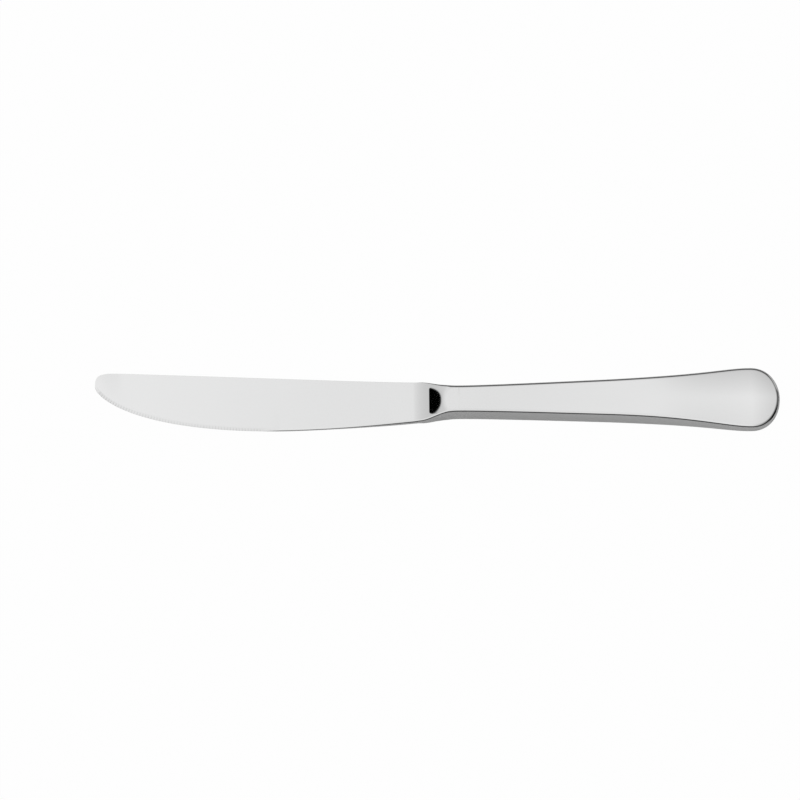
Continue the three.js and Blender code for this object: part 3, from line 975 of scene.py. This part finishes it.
class KNIFE_OT_brazed_joints(bpy.types.Operator):
    """Make the thin layers of braze along the handle's seam and round its neck"""

    bl_idname = "knife.brazed_joints"
    bl_label = "Brazed joints"

    def execute(self, context):
        scene = context.scene
        handle = scene.knife_handle
        alloy = brazing_alloy(scene.knife_finish)
        tree = brazed_strip_tree()
        self.strip(tree, alloy, "seam_layer", "seam_braze", self.seam_path(handle), False,
                   handle.wall, handle.seam, Matrix.Identity(4))
        stand = Matrix((
            (0, 0, 1, handle.neck_joint / 2),
            (1, 0, 0, 0),
            (0, 1, 0, 0),
            (0, 0, 0, 1),
        ))
        self.strip(tree, alloy, "neck_layer", "neck_braze", self.neck_path(handle), True,
                   handle.wall, handle.neck_joint, stand)
        return {"FINISHED"}

    @staticmethod
    def seam_path(handle):
        """The middle of the seam, from one side of the neck round the butt to the other."""
        places, inwards = handle_stations(handle)
        near = places + inwards * handle.wall / 2
        far = near[:-1][::-1] * (1, -1)
        return np.concatenate([near, far])

    @staticmethod
    def neck_path(handle):
        """The middle of the neck's ring, drawn flat."""
        inset = handle.wall / 2
        radius = handle.edge_radius - inset
        half = np.array([handle.neck_width / 2 - inset, handle.thickness / 2 - inset]) - radius
        turns = np.linspace(0, math.pi / 2, CORNER_STEPS + 1)
        points = []
        for quarter, signs in enumerate(((1, 1), (-1, 1), (-1, -1), (1, -1))):
            turn = turns + quarter * math.pi / 2
            points.append(half * signs + radius * np.stack([np.cos(turn), np.sin(turn)], axis=1))
        return np.concatenate(points)

    @staticmethod
    def strip(tree, alloy, name, node, path, closed, width, thickness, stand):
        """One strip of braze along a path, put in its place and handed over."""
        count = len(path)
        edges = [(k, (k + 1) % count) for k in range(count if closed else count - 1)]
        line = bpy.data.meshes.new(name + "_path")
        line.from_pydata([(x, y, 0) for x, y in path], edges, [])
        made = grown_mesh(name + "_path", line, tree, {
            "Width": width,
            "Thickness": thickness,
            "Alloy": alloy,
        })
        made.transform(Matrix.Translation(knife_origin) @ stand)
        tidy = bmesh.new()
        tidy.from_mesh(made)
        bmesh.ops.remove_doubles(tidy, verts=tidy.verts, dist=WELD_DISTANCE)
        bmesh.ops.recalc_face_normals(tidy, faces=tidy.faces)
        tidy.to_mesh(made)
        tidy.free()
        hand_over(smooth_piece(name, made, alloy), node)


class KNIFE_OT_cement(bpy.types.Operator):
    """Give the cement inside the handle its finish"""

    bl_idname = "knife.cement"
    bl_label = "Cement"

    def execute(self, context):
        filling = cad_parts["tang_cement"]
        filling.data.materials.clear()
        filling.data.materials.append(cement_material(context.scene.knife_finish.cement))
        return {"FINISHED"}


class KNIFE_OT_stage(bpy.types.Operator):
    """Make the floor, the light and the camera"""

    bl_idname = "knife.stage"
    bl_label = "Stage"

    floor_radius = 12.0

    # How far the camera sees, as a multiple of its distance
    sight = 4

    # Directions between which one light gives way to another
    left_side = (-0.02, -0.1)
    left_depth = (-0.1, 0.05)
    low_left_side = (-0.75, -0.9)
    low_far_side = (-0.5, -0.35)
    low_far_depth = (0.0, 0.3)
    low_near_side = (1.2, 0.3)
    low_near_depth = (0.1, -0.2)
    corner_side = (0.42, 0.55)
    corner_left = (0.1, -0.1)
    corner_far = (0.5, 0.6)
    corner_near = (0.1, -0.1)
    band_near = (-0.3, -0.5)
    band_height = (0.4, 0.28)

    def execute(self, context):
        scene = context.scene
        stage = scene.knife_stage
        self.make_floor(stage)
        self.make_light(scene, stage)
        self.make_camera(scene, stage)
        scene.view_settings.view_transform = "Standard"
        return {"FINISHED"}

    def make_floor(self, stage):
        """A pale floor. The camera sees it close to white, and it keeps the knife's shadow."""
        body = bmesh.new()
        bmesh.ops.create_circle(body, cap_ends=True, segments=FLOOR_SIDES, radius=self.floor_radius)
        mesh = bpy.data.meshes.new("floor")
        body.to_mesh(mesh)
        body.free()
        material, maker = blank_material("pale_floor", stage.floor_colour)
        path = maker.node("ShaderNodeLightPath").outputs
        seen = maker.math("MULTIPLY", path["Is Camera Ray"], stage.floor_glow)
        bounced = maker.math("MAXIMUM", path["Is Glossy Ray"], path["Is Transmission Ray"])
        mirrored = maker.math("MULTIPLY", bounced, stage.mirrored_glow)
        both = maker.first("ShaderNodeMixShader", {
            0: maker.math("MAXIMUM", seen, mirrored),
            1: maker.first("ShaderNodeBsdfDiffuse", {"Color": (*stage.floor_colour, 1)}),
            2: maker.first("ShaderNodeEmission", {"Color": WHITE, "Strength": 1.0}),
        })
        maker.node("ShaderNodeOutputMaterial", {"Surface": both})
        mesh.materials.append(material)
        floor = placed("floor", mesh)

    def make_light(self, scene, stage):
        """A soft light overhead, one to its left, and fainter ones near the horizon."""
        world = bpy.data.worlds.new("studio")
        world.use_nodes = True
        world.node_tree.nodes.clear()
        scene.world = world
        maker = TreeMaker(world.node_tree)
        where = maker.node("ShaderNodeTexCoord").outputs["Generated"]
        x, y, z = maker.node("ShaderNodeSeparateXYZ", {0: where}).outputs
        # A level face mirrors the direction that lies as far beyond the zenith as the camera
        # lies before it
        level_y = math.cos(stage.camera_height)
        far = maker.math("MAXIMUM", maker.math("SUBTRACT", y, level_y), 0.0)
        near = maker.math("MAXIMUM", maker.math("SUBTRACT", level_y, y), 0.0)
        near = maker.math("MINIMUM", near, stage.near_reach)
        right = maker.math("MAXIMUM", maker.math("SUBTRACT", x, stage.right_start), 0.0)
        level = maker.math("MULTIPLY_ADD", far, -stage.far_fall, 1.0)
        level = maker.math("MULTIPLY_ADD", near, -stage.near_fall, level)
        level = maker.math("MULTIPLY_ADD", right, -stage.right_fall, level)
        left = maker.math("MULTIPLY_ADD", x, stage.left_fall, 1.0)
        left = maker.math("MULTIPLY", left, maker.step(x, -stage.left_far, -stage.left_near))
        leftward = maker.step(x, *self.left_side)
        leftward = maker.math("MULTIPLY", leftward, maker.step(y, *self.left_depth))
        level = maker.math("MULTIPLY_ADD", maker.math("SUBTRACT", left, level), leftward, level)
        height = maker.math("MULTIPLY_ADD", maker.math("MINIMUM", x, 0.0), -stage.edge_lean, z)
        light = maker.math("MULTIPLY", level, maker.step(height, stage.light_end, stage.light_edge))
        aside = maker.math("ABSOLUTE", x)
        for low, *bounds in (
            (stage.low_left, (x, self.low_left_side)),
            (stage.low_far, (x, self.low_far_side), (y, self.low_far_depth)),
            (stage.low_near, (aside, self.low_near_side), (y, self.low_near_depth)),
            (stage.low_band, (y, self.band_near), (z, self.band_height)),
            (stage.low_corner, (aside, self.corner_side), (y, self.corner_far)),
            (
                stage.low_corner,
                (aside, self.corner_side), (y, self.corner_near), (x, self.corner_left),
            ),
        ):
            for way, limits in bounds:
                low = maker.math("MULTIPLY", low, maker.step(way, *limits))
            light = maker.math("MAXIMUM", light, low)
        glow = maker.first("ShaderNodeBackground", {"Color": WHITE, "Strength": light})
        maker.node("ShaderNodeOutputWorld", {"Surface": glow})

    def make_camera(self, scene, stage):
        """A long lens on the knife, from the height assumed for the photograph."""
        data = bpy.data.cameras.new("camera")
        camera = placed("camera", data)
        aim = Vector((stage.view_shift, knife_origin.y + stage.view_rise, knife_origin.z))
        height = stage.camera_height
        back = Vector((0, -math.cos(height), math.sin(height)))
        look = (-back).to_track_quat("-Z", "Y").to_matrix().to_4x4()
        roll = Matrix.Rotation(stage.camera_roll, 4, "Z")
        camera.matrix_world = Matrix.Translation(aim + back * stage.camera_distance) @ look @ roll
        data.lens = data.sensor_width * stage.camera_distance / stage.view_width
        data.clip_end = self.sight * stage.camera_distance
        scene.camera = camera


OPERATORS = (
    KNIFE_OT_forging,
    KNIFE_OT_half_shells,
    KNIFE_OT_brazed_joints,
    KNIFE_OT_cement,
    KNIFE_OT_stage,
)
SETTINGS = {
    "knife_blade": BladeSizes,
    "knife_saw": SawEdgeSizes,
    "knife_bolster": BolsterSizes,
    "knife_handle": HandleSizes,
    "knife_finish": KnifeFinish,
    "knife_stage": StageSettings,
}


class KNIFE_PT_panel(bpy.types.Panel):
    """Sizes and steps of the knife"""

    bl_idname = "KNIFE_PT_panel"
    bl_label = "Dessert Knife"
    bl_space_type = "VIEW_3D"
    bl_region_type = "UI"
    bl_category = "Knife"

    def draw(self, context):
        for operator in OPERATORS:
            self.layout.operator(operator.bl_idname)
        for name, kind in SETTINGS.items():
            box = self.layout.box()
            box.label(text=kind.__doc__)
            for key in kind.__annotations__:
                box.prop(getattr(context.scene, name), key)


def register():
    """Add the operators, the settings and the panel."""
    for name, kind in SETTINGS.items():
        bpy.utils.register_class(kind)
        setattr(bpy.types.Scene, name, PointerProperty(type=kind))
    for kind in (*OPERATORS, KNIFE_PT_panel):
        bpy.utils.register_class(kind)


def unregister():
    """Take them away again."""
    for kind in reversed((*OPERATORS, KNIFE_PT_panel)):
        bpy.utils.unregister_class(kind)
    for name, kind in reversed(SETTINGS.items()):
        delattr(bpy.types.Scene, name)
        bpy.utils.unregister_class(kind)


def main():
    """Build the knife and its stage."""
    register()
    bpy.ops.knife.forging()
    bpy.ops.knife.half_shells()
    bpy.ops.knife.brazed_joints()
    bpy.ops.knife.cement()
    bpy.ops.knife.stage()


if __name__ == "__main__":
    main()
